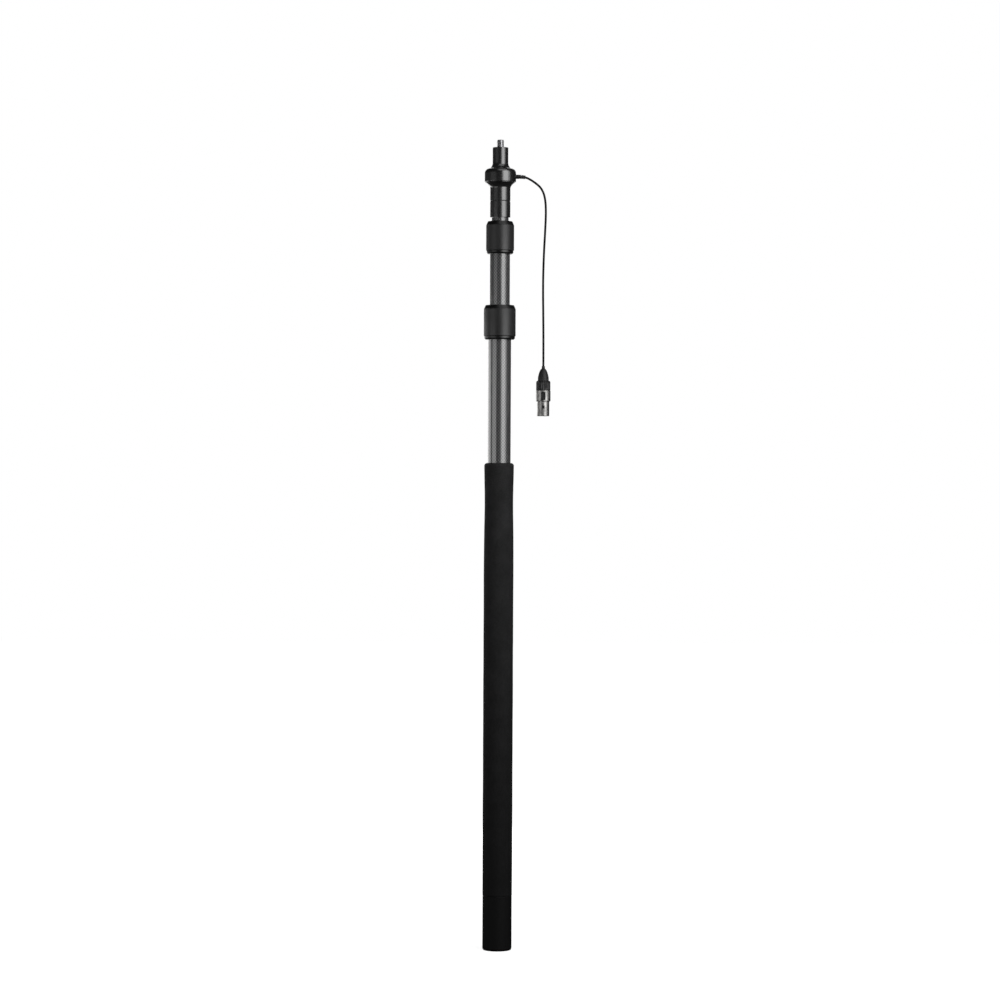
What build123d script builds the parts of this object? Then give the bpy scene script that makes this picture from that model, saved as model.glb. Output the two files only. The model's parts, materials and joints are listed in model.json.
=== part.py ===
from build123d import *
import math
import os

# A three-section telescopic boom pole with a coiled cable inside it.
# Millimetres. The origin is the centre of the base, and +Z runs up the pole's axis to the microphone stud.
# The pole stands as it is used close in: its middle section is drawn out a little.

# Heights along the pole
BASE_CAP_TOP = 71.0
GRIP_TOP = 633.75
LOWER_LOCK_BOTTOM = 794.3
LOWER_LOCK_TOP = 839.0
UPPER_LOCK_BOTTOM = 905.7
UPPER_LOCK_TOP = 948.1
HEAD_BOTTOM = 953.0
HEAD_JOINT = 974.1
RING_BOTTOM = 999.2
RING_TOP = 1017.0
NECK_TOP = 1044.3
STUD_LENGTH = 10.0

# Tubes, each 1 mm thick and 2 mm smaller in radius than the one it slides in
OUTER_R = 15.0
MIDDLE_R = 13.0
INNER_R = 11.0
TUBE_WALL = 1.0
MIDDLE_TUBE_BOTTOM = 120.0
INNER_TUBE_BOTTOM = 126.0

# Fits
SLIDING_GAP = 0.05
LOOSE_GAP = 0.4

# Grip and base
GRIP_R = 19.3
CAP_R = 19.05
GRIP_END_ROUND = 4.0
CAP_EDGE_ROUND = 7.0
CAP_FLOOR = 3.0
CAP_HOLE_R = 12.0
PLUG_TOP = 45.0

# Output socket in the base: a three-pin male audio connector
SOCKET_OUTER_R = 11.8
SOCKET_BORE_R = 8.1
SOCKET_HEIGHT = 26.0
INSERT_BOTTOM = 14.0
PIN_R = 1.2
PIN_CIRCLE_R = 4.36
PIN_TIP_Z = 3.5
PIN_TOP_Z = 31.0
PIN_ANGLES = (30.0, 150.0, 270.0)
SCREW_HEAD_R = 1.5
SCREW_CIRCLE_R = 10.0
SCREW_ANGLES = (90.0, 210.0, 330.0)

# Twist locks
LOWER_SLEEVE_R = 20.75
UPPER_SLEEVE_R = 18.2
SLEEVE_WALL = 1.0
LOCK_RING_HEIGHT = 4.3
LOCK_CHAMFER_HEIGHT = 5.0
LOCK_CHAMFER_DEPTH = 2.2
LOCK_SOCKET_DEPTH = 20.0
COLLET_SEAT = 26.0
COLLET_FLANGE = 3.0
COLLET_SLOTS = 6

# Guide bush and its two stop rings on the foot of each sliding tube
STOP_RING_HEIGHT = 4.0
BUSH_HEIGHT = 19.4
BUSH_END_GAP = 0.3
STOP_RING_GAP = 0.2

# Head
HEAD_R = 13.2
RING_R = 20.5
RING_SIDE_TOP = 1010.1
SHOULDER_R = 14.4
SHOULDER_BEND = 2.2
RING_ROOF_BOTTOM = 1012.0
COVE_BOTTOM = 991.5
COVE_TOP = 998.8
COVE_BEND = 1.8
CURVE_STEPS = 7
COVE_TOP_R = 19.5
RING_WALL_R = 16.0
REGISTER_R = 13.0
REGISTER_HEIGHT = 2.0
NECK_R = 10.2
NECK_FLARE_TOP = 1024.5
FLARE_BEND = 2.2
FLARE_STEPS = 6
SPIGOT_R = 9.5
SPIGOT_BOTTOM = 1008.6
HEAD_BORE_R = 8.0
HEAD_SPIGOT_BOTTOM = 960.0
SEAL_HEIGHT = 0.8
SEAL_R = 12.6
STUD_R = 4.7625
STUD_SHANK_R = 4.0
STUD_SEAT = 14.0
ANCHOR_BOTTOM = 961.0
ANCHOR_HEIGHT = 6.0

# Cable inside the pole
COIL_R = 7.0
COIL_BORE_R = 3.5
COIL_BOTTOM = 130.0
COIL_TOP = 940.0
BASE_LEAD_R = 2.25
BASE_LEAD_TOP = 134.0
HEAD_LEAD_R = 1.4
HEAD_LEAD_X = -4.0
HEAD_LEAD_BEND_R = 12.0
CABLE_HOLE_GAP = 0.1
BOOT_BORE_GAP = 0.35

# Gland on the side of the exit ring
GLAND_Z = 1006.4
GLAND_R = 2.75
GLAND_SHANK_R = 2.0
GLAND_NUT_END = 26.6
BOOT_LENGTH = 6.0
BOOT_TIP_R = 2.4
BOOT_TILT = 7.0

# Microphone cord, hanging from the gland, and its connector
CORD_R = 1.4
CORD_ROUTE = [
    (20.5, 0.0, 1006.4),
    (27.0, 0.0, 1006.4),
    (34.5, -0.2, 1005.4),
    (45.0, -0.9, 999.0),
    (53.5, -2.0, 991.5),
    (58.2, -3.0, 980.0),
    (59.6, -3.7, 962.0),
    (58.6, -3.9, 936.0),
    (56.9, -3.3, 905.0),
    (56.0, -2.4, 866.0),
    (56.6, -2.0, 826.0),
    (57.0, -2.0, 791.0),
    (57.0, -2.0, 760.0),
]
ARC_SHARE = 0.45

# Connector, measured down from the tip of its boot
SHELL_R = 9.5
SHELL_BORE_R = 8.4
NOSE_R = 7.95
NOSE_BORE_R = 7.4
COLLAR_R = 9.25
BOOT_TOP_R = 2.1
BOOT_NOSE_R = 3.9
BOOT_SWELL_R = 6.0
BOOT_BASE_R = 7.1
BOOT_DEPTH = 19.0
COLLAR_DEPTH = 32.0
SHELL_DEPTH = 46.0
CONNECTOR_LENGTH = 65.0
COLLAR_RIBS = 24
RIB_GROOVE = 0.9
CHUCK_R = 4.5
CHUCK_START = 10.2
CHUCK_END = 28.0
CONTACT_R = 1.7
CONTACT_BORE_R = 1.25
CONTACT_ANGLES = (90.0, 210.0, 330.0)
INSERT_START = 48.0
INSERT_R = 7.35
CONTACT_START = 50.0
CONTACT_END = 64.0
WIRE_R = 0.5
LATCH_WIDTH = 5.4
LATCH_ARM_WIDTH = 3.4
LATCH_START = 34.2
LATCH_END = 43.8
HOOK_START = 52.0
HOOK_END = 55.0
LATCH_GAP = 0.4


def turned(*outline):
    """A solid of revolution about the Z axis, from (radius, height) points."""
    return revolve(Plane.XZ * make_face(Polyline(*outline, close=True)), Axis.Z)


def ring(inner, outer, low, high):
    """A plain ring or, with no inner radius, a disc."""
    return turned((inner, low), (outer, low), (outer, high), (inner, high))


def around(angles, radius):
    """Places on a circle about the Z axis."""
    return [
        Pos(radius * math.cos(math.radians(a)), radius * math.sin(math.radians(a)))
        for a in angles
    ]


def cylinder_between(start, end, radius):
    """A straight round bar from one point to another."""
    path = Line(start, end)
    return sweep(Plane(path @ 0, z_dir=path % 0) * Circle(radius), path=path)


def arc_radii(points):
    """The largest arc that each corner of a route has room for."""
    found = []
    for before, corner, after in zip(points, points[1:], points[2:]):
        arriving = Vector(*corner) - Vector(*before)
        leaving = Vector(*after) - Vector(*corner)
        half_turn = math.radians(arriving.get_angle(leaving)) / 2
        shorter = min(arriving.length, leaving.length)
        found.append(ARC_SHARE * shorter / math.tan(half_turn))
    return found


def bent_cable(points, radii, radius):
    """A round cable along straight runs joined by tangent arcs."""
    path = FilletPolyline(*points, radius=radii)
    solid = sweep(Plane(path @ 0, z_dir=path % 0) * Circle(radius), path=path)
    return solid, path.length


def base_cap():
    """The cap on the pole's foot: a cup over the outer tube, open at the bottom for the socket."""
    cup = turned(
        (CAP_HOLE_R, 0),
        (CAP_R, 0),
        (CAP_R, BASE_CAP_TOP),
        (OUTER_R, BASE_CAP_TOP),
        (OUTER_R, CAP_FLOOR),
        (CAP_HOLE_R, CAP_FLOOR),
    )
    rim = cup.edges().filter_by(GeomType.CIRCLE).filter_by(lambda e: abs(e.radius - CAP_R) < 0.01)
    return fillet(rim.sort_by(Axis.Z)[0], CAP_EDGE_ROUND)


def foam_grip():
    """The long foam sleeve, rounded at its upper end."""
    sleeve = ring(OUTER_R, GRIP_R, BASE_CAP_TOP, GRIP_TOP)
    rim = sleeve.edges().filter_by(GeomType.CIRCLE).filter_by(lambda e: abs(e.radius - GRIP_R) < 0.01)
    return fillet(rim.sort_by(Axis.Z)[-1], GRIP_END_ROUND - SLIDING_GAP)


def tube(radius, bottom, top):
    """One carbon section."""
    return ring(radius - TUBE_WALL, radius, bottom, top)


def base_plug():
    """The plug bonded into the outer tube, which holds the socket."""
    outer = OUTER_R - TUBE_WALL
    body = turned(
        (SOCKET_OUTER_R, CAP_FLOOR),
        (outer, CAP_FLOOR),
        (outer, PLUG_TOP),
        (BASE_LEAD_R * 2, PLUG_TOP),
        (BASE_LEAD_R * 2, PLUG_TOP - 5),
        (SOCKET_BORE_R, PLUG_TOP - 5),
        (SOCKET_BORE_R, SOCKET_HEIGHT),
        (SOCKET_OUTER_R, SOCKET_HEIGHT),
    )
    return body


def base_grommet():
    """The rubber bush round the lead where it leaves the plug."""
    return ring(BASE_LEAD_R + CABLE_HOLE_GAP, BASE_LEAD_R * 2, PLUG_TOP - 5, PLUG_TOP)


def output_shell():
    """The socket's metal shell, flush with the foot of the pole, with its screw holes."""
    shell = ring(SOCKET_BORE_R, SOCKET_OUTER_R, 0, SOCKET_HEIGHT)
    screw_depth = 8.0
    for place in around(SCREW_ANGLES, SCREW_CIRCLE_R):
        shell -= place * Pos(0, 0, screw_depth / 2) * Cylinder(SCREW_HEAD_R, screw_depth)
    return shell


def output_screws():
    """The three screws in the socket's face."""
    screws = []
    for place in around(SCREW_ANGLES, SCREW_CIRCLE_R):
        screw = ring(0, SCREW_HEAD_R, 0.3, 8.0)
        slot = Box(2 * SCREW_HEAD_R, 0.5, 1.2)
        screws.append(place * (screw - Pos(0, 0, 0.6) * slot))
    return Compound(screws)


def output_insert():
    """The socket's insulator."""
    insert = ring(0, SOCKET_BORE_R, INSERT_BOTTOM, SOCKET_HEIGHT)
    for place in around(PIN_ANGLES, PIN_CIRCLE_R):
        insert -= place * Pos(0, 0, 20) * Cylinder(PIN_R, 40)
    return insert


def output_pins():
    """Three round contact pins with domed tips and solder cups."""
    pins = []
    for place in around(PIN_ANGLES, PIN_CIRCLE_R):
        pin = turned(
            (0, PIN_TIP_Z),
            (PIN_R * 0.6, PIN_TIP_Z),
            (PIN_R, PIN_TIP_Z + 0.7),
            (PIN_R, PIN_TOP_Z),
            (PIN_R * 0.6, PIN_TOP_Z),
            (PIN_R * 0.6, PIN_TOP_Z - 3),
            (0, PIN_TOP_Z - 3),
        )
        pins.append(place * pin)
    return Compound(pins)


def lock_ferrule(tube_r, slide_r, bottom, sleeve_r):
    """The fixed half of a twist lock, bonded over the end of the larger tube."""
    neck_r = sleeve_r - 3.0
    ring_r = sleeve_r - 0.9
    step = bottom + LOCK_SOCKET_DEPTH
    groove = bottom + LOCK_RING_HEIGHT + 1.2
    groove_top = groove + 2.0
    return turned(
        (tube_r, bottom),
        (ring_r - 1.5, bottom),
        (ring_r, bottom + 1.5),
        (ring_r, bottom + LOCK_RING_HEIGHT),
        (neck_r, bottom + LOCK_RING_HEIGHT),
        (neck_r, groove),
        (neck_r - 1.2, groove),
        (neck_r - 1.2, groove_top),
        (neck_r, groove_top),
        (neck_r, bottom + COLLET_SEAT),
        (slide_r + LOOSE_GAP, bottom + COLLET_SEAT),
        (slide_r + LOOSE_GAP, step),
        (tube_r, step),
    )


def lock_o_ring(bottom, sleeve_r):
    """The ring in the ferrule's groove that steadies the collar."""
    neck_r = sleeve_r - 3.0
    groove = bottom + LOCK_RING_HEIGHT + 1.2
    return ring(neck_r - 1.2, neck_r + SLIDING_GAP, groove + 0.1, groove + 1.9)


def lock_collet(slide_r, bottom, top, sleeve_r):
    """The split collet that the collar squeezes onto the sliding tube."""
    flange_r = sleeve_r - 4.4
    seat = bottom + COLLET_SEAT
    tip = top - LOCK_CHAMFER_HEIGHT - 2.0
    collet = turned(
        (slide_r + SLIDING_GAP, seat),
        (flange_r, seat),
        (flange_r, seat + COLLET_FLANGE),
        (slide_r + 1.0, tip),
        (slide_r + SLIDING_GAP, tip),
    )
    slot_width = 1.2
    slot_low = seat + 2.0
    slot = Pos(flange_r / 2, 0, (slot_low + top) / 2) * Box(flange_r + 2, slot_width, top - slot_low)
    for turn in range(COLLET_SLOTS):
        collet -= Rot(0, 0, turn * 360 / COLLET_SLOTS) * slot
    return collet


def lock_nut(slide_r, bottom, top, sleeve_r):
    """The turning half of a twist lock, with the cone that closes the collet."""
    neck_r = sleeve_r - 3.0
    nut_r = sleeve_r - SLEEVE_WALL
    low = bottom + LOCK_RING_HEIGHT + 0.2
    shoulder = top - LOCK_CHAMFER_HEIGHT
    thread_top = bottom + COLLET_SEAT + 0.8
    cone_foot = bottom + COLLET_SEAT + COLLET_FLANGE + 0.2
    cone_top = shoulder - 1.6
    return turned(
        (neck_r + 0.15, low),
        (nut_r, low),
        (nut_r, shoulder),
        (sleeve_r, shoulder),
        (sleeve_r - LOCK_CHAMFER_DEPTH, top),
        (slide_r + LOOSE_GAP, top),
        (slide_r + LOOSE_GAP, cone_top),
        (slide_r + 1.4, cone_top),
        (neck_r - 1.0, cone_foot),
        (neck_r - 1.0, thread_top),
        (neck_r + 0.15, thread_top),
    )


def lock_sleeve(bottom, top, sleeve_r):
    """The soft-touch sleeve bonded round the collar."""
    low = bottom + LOCK_RING_HEIGHT + 0.2
    return ring(sleeve_r - SLEEVE_WALL, sleeve_r, low, top - LOCK_CHAMFER_HEIGHT)


def stop_rings(slide_r, outer_bore_r, foot):
    """Two rings bonded to a sliding tube, below and above its guide bush."""
    outer = outer_bore_r - STOP_RING_GAP
    upper = foot + STOP_RING_HEIGHT + BUSH_HEIGHT + 2 * BUSH_END_GAP
    return Compound(
        [
            ring(slide_r, outer, foot, foot + STOP_RING_HEIGHT),
            ring(slide_r, outer, upper, upper + STOP_RING_HEIGHT),
        ]
    )


def guide_bush(slide_r, outer_bore_r, foot):
    """The plain bush that the tube turns in, and that slides in the larger tube."""
    low = foot + STOP_RING_HEIGHT + BUSH_END_GAP
    return ring(slide_r + SLIDING_GAP, outer_bore_r - SLIDING_GAP, low, low + BUSH_HEIGHT)


def head_sleeve():
    """The lower sleeve of the head, bonded over the inner tube."""
    edge = 0.3
    return turned(
        (INNER_R, HEAD_BOTTOM),
        (HEAD_R - edge, HEAD_BOTTOM),
        (HEAD_R, HEAD_BOTTOM + edge),
        (HEAD_R, HEAD_JOINT - edge),
        (HEAD_R - edge, HEAD_JOINT),
        (INNER_R, HEAD_JOINT),
    )


def head_seal():
    """The thin seal in the groove between the head's two parts."""
    return ring(INNER_R - TUBE_WALL, SEAL_R, HEAD_JOINT, HEAD_JOINT + SEAL_HEIGHT)


def head_body():
    """The head's main turned part: a spigot in the inner tube, a barrel and a cove up to the ring."""
    edge = 0.3
    low = HEAD_JOINT + SEAL_HEIGHT
    spigot_r = INNER_R - TUBE_WALL
    cove = []
    for step in range(CURVE_STEPS + 1):
        t = step / CURVE_STEPS
        radius = HEAD_R + (COVE_TOP_R - HEAD_R) * t**COVE_BEND
        cove.append((radius, COVE_BOTTOM + (COVE_TOP - COVE_BOTTOM) * t))
    return turned(
        (HEAD_BORE_R, HEAD_SPIGOT_BOTTOM),
        (spigot_r, HEAD_SPIGOT_BOTTOM),
        (spigot_r, low),
        (HEAD_R - edge, low),
        (HEAD_R, low + edge),
        *cove,
        (COVE_TOP_R, RING_BOTTOM),
        (REGISTER_R, RING_BOTTOM),
        (REGISTER_R, RING_BOTTOM + REGISTER_HEIGHT),
        (HEAD_BORE_R, RING_BOTTOM + REGISTER_HEIGHT),
    )


def exit_ring():
    """The widest ring of the head, hollow, with the hole that the cord leaves by."""
    edge = 0.5
    cavity_low = RING_BOTTOM + REGISTER_HEIGHT
    wide = RING_R - SHOULDER_R
    tall = RING_TOP - RING_SIDE_TOP
    bend = 2 / SHOULDER_BEND
    shoulder = [(RING_R, RING_SIDE_TOP)]
    for step in range(1, CURVE_STEPS):
        angle = math.radians(90 * step / CURVE_STEPS)
        out = wide * math.cos(angle) ** bend
        shoulder.append((SHOULDER_R + out, RING_SIDE_TOP + tall * math.sin(angle) ** bend))
    shoulder.append((SHOULDER_R, RING_TOP))
    body = turned(
        (REGISTER_R, RING_BOTTOM),
        (RING_R - edge, RING_BOTTOM),
        (RING_R, RING_BOTTOM + edge),
        *shoulder,
        (SPIGOT_R, RING_TOP),
        (SPIGOT_R, RING_ROOF_BOTTOM),
        (RING_WALL_R, RING_ROOF_BOTTOM),
        (RING_WALL_R, cavity_low),
        (REGISTER_R, cavity_low),
    )
    hole = Pos(RING_R, 0, GLAND_Z) * Rot(0, 90, 0) * Cylinder(GLAND_SHANK_R, 3 * GLAND_R * 2)
    return body - hole


def head_neck():
    """The neck above the ring, with a concave flare at its foot and a seat for the stud."""
    flare = NECK_FLARE_TOP - RING_TOP
    curve = []
    for step in range(FLARE_STEPS):
        t = step / FLARE_STEPS
        curve.append((NECK_R + (SHOULDER_R - NECK_R) * (1 - t) ** FLARE_BEND, RING_TOP + flare * t))
    edge = 0.4
    return turned(
        (0, SPIGOT_BOTTOM),
        (SPIGOT_R, SPIGOT_BOTTOM),
        (SPIGOT_R, RING_TOP),
        *curve,
        (NECK_R, NECK_FLARE_TOP),
        (NECK_R, NECK_TOP - edge),
        (NECK_R - edge, NECK_TOP),
        (STUD_SHANK_R, NECK_TOP),
        (STUD_SHANK_R, NECK_TOP - STUD_SEAT),
        (0, NECK_TOP - STUD_SEAT),
    )


def mic_stud():
    """The 3/8 inch stud that a microphone mount screws onto, on a thinner shank set in the neck."""
    edge = 0.9
    top = NECK_TOP + STUD_LENGTH
    return turned(
        (0, NECK_TOP - STUD_SEAT),
        (STUD_SHANK_R, NECK_TOP - STUD_SEAT),
        (STUD_SHANK_R, NECK_TOP),
        (STUD_R, NECK_TOP),
        (STUD_R, top - edge),
        (STUD_R - edge, top),
        (0, top),
    )


def cable_anchor():
    """The disc in the head's bore that holds the top of the coiled cable."""
    disc = ring(0, HEAD_BORE_R, ANCHOR_BOTTOM, ANCHOR_BOTTOM + ANCHOR_HEIGHT)
    middle = ANCHOR_BOTTOM + ANCHOR_HEIGHT / 2
    return disc - Pos(HEAD_LEAD_X, 0, middle) * Cylinder(HEAD_LEAD_R + CABLE_HOLE_GAP, ANCHOR_HEIGHT * 2)


def gland_nut():
    """The gland: a shank through the ring's wall and a knurled nut outside it."""
    shank = ring(HEAD_LEAD_R + CABLE_HOLE_GAP, GLAND_SHANK_R, RING_WALL_R - 0.5, RING_R)
    nut = ring(HEAD_LEAD_R + CABLE_HOLE_GAP, GLAND_R, RING_R, GLAND_NUT_END)
    return Pos(0, 0, GLAND_Z) * Rot(0, 90, 0) * (shank + nut)


def gland_boot():
    """The strain relief boot beyond the nut, drawn down a little by the cord."""
    buried = 1.5
    shoulder = 1.5
    bore = CORD_R + BOOT_BORE_GAP
    boot = turned(
        (bore, -buried),
        (GLAND_R, -buried),
        (GLAND_R, shoulder),
        (BOOT_TIP_R, BOOT_LENGTH),
        (bore, BOOT_LENGTH),
    )
    placed = Pos(GLAND_NUT_END, 0, GLAND_Z) * Rot(0, 90 + BOOT_TILT, 0) * boot
    behind = Pos(GLAND_NUT_END - 10, 0, GLAND_Z) * Box(20, 20, 20)
    return placed - behind


def connector_tip():
    """Where the connector's boot begins: the end of the cord."""
    return CORD_ROUTE[-1]


def on_connector(solid):
    """Place a solid made with its depth along +Z on the connector's axis, which points down."""
    return Pos(*connector_tip()) * Rot(180, 0, 0) * solid


def connector_boot():
    """The bullet-shaped rubber boot."""
    bore = CORD_R + CABLE_HOLE_GAP
    return on_connector(
        turned(
            (bore, 0),
            (BOOT_TOP_R, 0),
            (BOOT_TOP_R, BOOT_DEPTH * 0.16),
            (BOOT_NOSE_R, BOOT_DEPTH * 0.33),
            (BOOT_SWELL_R, BOOT_DEPTH * 0.53),
            (BOOT_BASE_R, BOOT_DEPTH * 0.85),
            (BOOT_BASE_R, BOOT_DEPTH),
            (CHUCK_R + CABLE_HOLE_GAP, BOOT_DEPTH),
            (CHUCK_R + CABLE_HOLE_GAP, CHUCK_START - 0.2),
            (bore, CHUCK_START - 0.2),
        )
    )


def connector_collar():
    """The ribbed collar that closes the connector."""
    bore = CHUCK_R + CABLE_HOLE_GAP
    collar = turned(
        (bore, BOOT_DEPTH),
        (COLLAR_R - 1.2, BOOT_DEPTH),
        (COLLAR_R, BOOT_DEPTH + 1.2),
        (COLLAR_R, COLLAR_DEPTH),
        (bore, COLLAR_DEPTH),
    )
    groove = Pos(COLLAR_R, 0, (BOOT_DEPTH + COLLAR_DEPTH) / 2 + 1) * Box(RIB_GROOVE, RIB_GROOVE, 8.0)
    for rib in range(COLLAR_RIBS):
        collar -= Rot(0, 0, rib * 360 / COLLAR_RIBS) * groove
    return on_connector(collar)


def connector_chuck():
    """The split chuck that grips the cord inside the boot."""
    chuck = ring(CORD_R + CABLE_HOLE_GAP, CHUCK_R, CHUCK_START, CHUCK_END)
    slot = Pos(CHUCK_R / 2, 0, (CHUCK_START + CHUCK_END) / 2) * Box(CHUCK_R + 1, 1.0, CHUCK_END - CHUCK_START)
    return on_connector(chuck - slot)


def connector_shell():
    """The metal shell, stepped down to its nose, with openings for the latch and its hook."""
    shell = turned(
        (SHELL_BORE_R, COLLAR_DEPTH),
        (SHELL_R, COLLAR_DEPTH),
        (SHELL_R, SHELL_DEPTH - 0.8),
        (SHELL_R - 0.8, SHELL_DEPTH),
        (NOSE_R, SHELL_DEPTH),
        (NOSE_R, CONNECTOR_LENGTH - 0.4),
        (NOSE_R - 0.3, CONNECTOR_LENGTH),
        (NOSE_BORE_R, CONNECTOR_LENGTH),
        (NOSE_BORE_R, SHELL_DEPTH - 1.2),
        (SHELL_BORE_R, SHELL_DEPTH - 1.2),
    )
    tab_hole = radial_box(LATCH_WIDTH + LATCH_GAP, LATCH_START - LATCH_GAP, LATCH_END + LATCH_GAP, 5.0, 12.0)
    hook_hole = radial_box(
        LATCH_ARM_WIDTH + LATCH_GAP, HOOK_START - LATCH_GAP, HOOK_END + LATCH_GAP, 5.0, 12.0
    )
    return on_connector(shell - tab_hole - hook_hole)


def radial_box(width, low, high, near, far):
    """A box from one radius to another, on the side that the latch is on."""
    return Pos(0, (near + far) / 2, (low + high) / 2) * Box(width, far - near, high - low)


def connector_insert():
    """The insulator with its three contact holes and a channel for the latch's arm."""
    insert = ring(0, INSERT_R, INSERT_START, CONNECTOR_LENGTH - 0.5)
    middle = (INSERT_START + CONNECTOR_LENGTH) / 2
    for place in around([-a for a in CONTACT_ANGLES], PIN_CIRCLE_R):
        insert -= place * Pos(0, 0, middle) * Cylinder(CONTACT_R, CONNECTOR_LENGTH)
    channel = radial_box(LATCH_ARM_WIDTH + LATCH_GAP, INSERT_START - 1, HOOK_END + 1, 3.9, SHELL_R)
    return on_connector(insert - channel)


def connector_contacts():
    """Three sockets for a microphone's pins."""
    contact = turned(
        (CONTACT_BORE_R, CONTACT_END),
        (CONTACT_R, CONTACT_END),
        (CONTACT_R, CONTACT_START),
        (0, CONTACT_START),
        (0, CONTACT_START + 2),
        (CONTACT_BORE_R, CONTACT_START + 2),
    )
    places = around([-a for a in CONTACT_ANGLES], PIN_CIRCLE_R)
    return Compound([on_connector(place * contact) for place in places])


def connector_wires():
    """The end of the cord inside the connector, and its three wires."""
    cord_end = CHUCK_END + 1.0
    parts = [on_connector(ring(0, CORD_R, 0, cord_end))]
    for place in around([-a for a in CONTACT_ANGLES], 1.0):
        near = (place.position.X * 0.7, place.position.Y * 0.7, cord_end)
        far = (place.position.X * PIN_CIRCLE_R, place.position.Y * PIN_CIRCLE_R, CONTACT_START - WIRE_R)
        parts.append(on_connector(cylinder_between(near, far, WIRE_R)))
    return Compound(parts)


def connector_latch():
    """The push latch: a tab in the shell, an arm under it and a hook in the nose."""
    tab = radial_box(LATCH_WIDTH, LATCH_START, LATCH_END, 6.4, SHELL_R + 0.5)
    arm = radial_box(LATCH_ARM_WIDTH, LATCH_END - 2, HOOK_END, 5.6, 6.9)
    hook = radial_box(LATCH_ARM_WIDTH, HOOK_START, HOOK_END, 5.6, NOSE_R + 0.6)
    return on_connector(tab + arm + hook)


def coiled_cable():
    """The envelope of the coiled cable inside the inner tube."""
    return ring(COIL_BORE_R, COIL_R, COIL_BOTTOM, COIL_TOP)


def base_lead():
    """The straight lead from the socket up to the coil."""
    return ring(0, BASE_LEAD_R, PIN_TOP_Z + 1, BASE_LEAD_TOP)


def head_lead():
    """The lead from the coil through the head, bent across to the gland."""
    route = [(HEAD_LEAD_X, 0, COIL_TOP), (HEAD_LEAD_X, 0, GLAND_Z), (RING_R, 0, GLAND_Z)]
    solid, _ = bent_cable(route, [HEAD_LEAD_BEND_R], HEAD_LEAD_R)
    return solid


def mic_cord():
    """The free cord from the gland to its connector."""
    radii = arc_radii(CORD_ROUTE)
    solid, length = bent_cable(CORD_ROUTE, radii, CORD_R)
    print("cord arc radii", [round(r, 1) for r in radii])
    print("cord length", round(length, 1))
    print("cord volume over section times length", round(solid.volume / (math.pi * CORD_R**2 * length), 5))
    return solid


def lock_parts(name, tube_r, slide_r, bottom, top, sleeve_r):
    """The five pieces of one twist lock."""
    return {
        name + "_ferrule": lock_ferrule(tube_r, slide_r, bottom, sleeve_r),
        name + "_o_ring": lock_o_ring(bottom, sleeve_r),
        name + "_collet": lock_collet(slide_r, bottom, top, sleeve_r),
        name + "_nut": lock_nut(slide_r, bottom, top, sleeve_r),
        name + "_sleeve": lock_sleeve(bottom, top, sleeve_r),
    }


def tube_parts(name, slide_r, outer_bore_r, bottom, top):
    """One sliding tube with its guide bush and stop rings."""
    return {
        name + "_tube": tube(slide_r, bottom, top),
        name + "_stop_rings": stop_rings(slide_r, outer_bore_r, bottom),
        name + "_guide_bush": guide_bush(slide_r, outer_bore_r, bottom),
    }


def all_parts():
    """Every piece of the pole, by name."""
    single = [
        base_cap,
        foam_grip,
        base_plug,
        base_grommet,
        output_shell,
        output_screws,
        output_insert,
        output_pins,
        head_sleeve,
        head_seal,
        head_body,
        exit_ring,
        head_neck,
        mic_stud,
        cable_anchor,
        gland_nut,
        gland_boot,
        mic_cord,
        connector_boot,
        connector_collar,
        connector_chuck,
        connector_shell,
        connector_insert,
        connector_contacts,
        connector_wires,
        connector_latch,
        coiled_cable,
        base_lead,
        head_lead,
    ]
    parts = {make.__name__: make() for make in single}
    outer_tube_top = LOWER_LOCK_BOTTOM + LOCK_SOCKET_DEPTH
    middle_tube_top = UPPER_LOCK_BOTTOM + LOCK_SOCKET_DEPTH
    outer_bore = OUTER_R - TUBE_WALL
    middle_bore = MIDDLE_R - TUBE_WALL
    parts["outer_tube"] = tube(OUTER_R, CAP_FLOOR, outer_tube_top)
    parts |= tube_parts("middle", MIDDLE_R, outer_bore, MIDDLE_TUBE_BOTTOM, middle_tube_top)
    parts |= tube_parts("inner", INNER_R, middle_bore, INNER_TUBE_BOTTOM, HEAD_JOINT)
    parts |= lock_parts(
        "lower_lock", OUTER_R, MIDDLE_R, LOWER_LOCK_BOTTOM, LOWER_LOCK_TOP, LOWER_SLEEVE_R
    )
    parts |= lock_parts(
        "upper_lock", MIDDLE_R, INNER_R, UPPER_LOCK_BOTTOM, UPPER_LOCK_TOP, UPPER_SLEEVE_R
    )
    return parts


os.makedirs("parts", exist_ok=True)
for name, solid in all_parts().items():
    export_step(solid, f"parts/{name}.step")
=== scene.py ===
import json
import math

import bmesh
import bpy
from mathutils import Matrix, Vector


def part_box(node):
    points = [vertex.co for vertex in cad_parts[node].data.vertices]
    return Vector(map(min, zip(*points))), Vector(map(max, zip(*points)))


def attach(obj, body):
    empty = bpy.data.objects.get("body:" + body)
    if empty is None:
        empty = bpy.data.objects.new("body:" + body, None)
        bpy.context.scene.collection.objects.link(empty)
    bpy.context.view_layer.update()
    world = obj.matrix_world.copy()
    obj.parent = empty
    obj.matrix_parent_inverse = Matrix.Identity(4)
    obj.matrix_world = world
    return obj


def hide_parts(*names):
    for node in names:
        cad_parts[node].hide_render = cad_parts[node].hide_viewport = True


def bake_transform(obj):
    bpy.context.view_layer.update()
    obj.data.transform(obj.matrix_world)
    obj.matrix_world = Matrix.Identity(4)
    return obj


# The looks of a telescopic boom pole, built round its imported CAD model. Metres, +Z up the pole.

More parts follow.
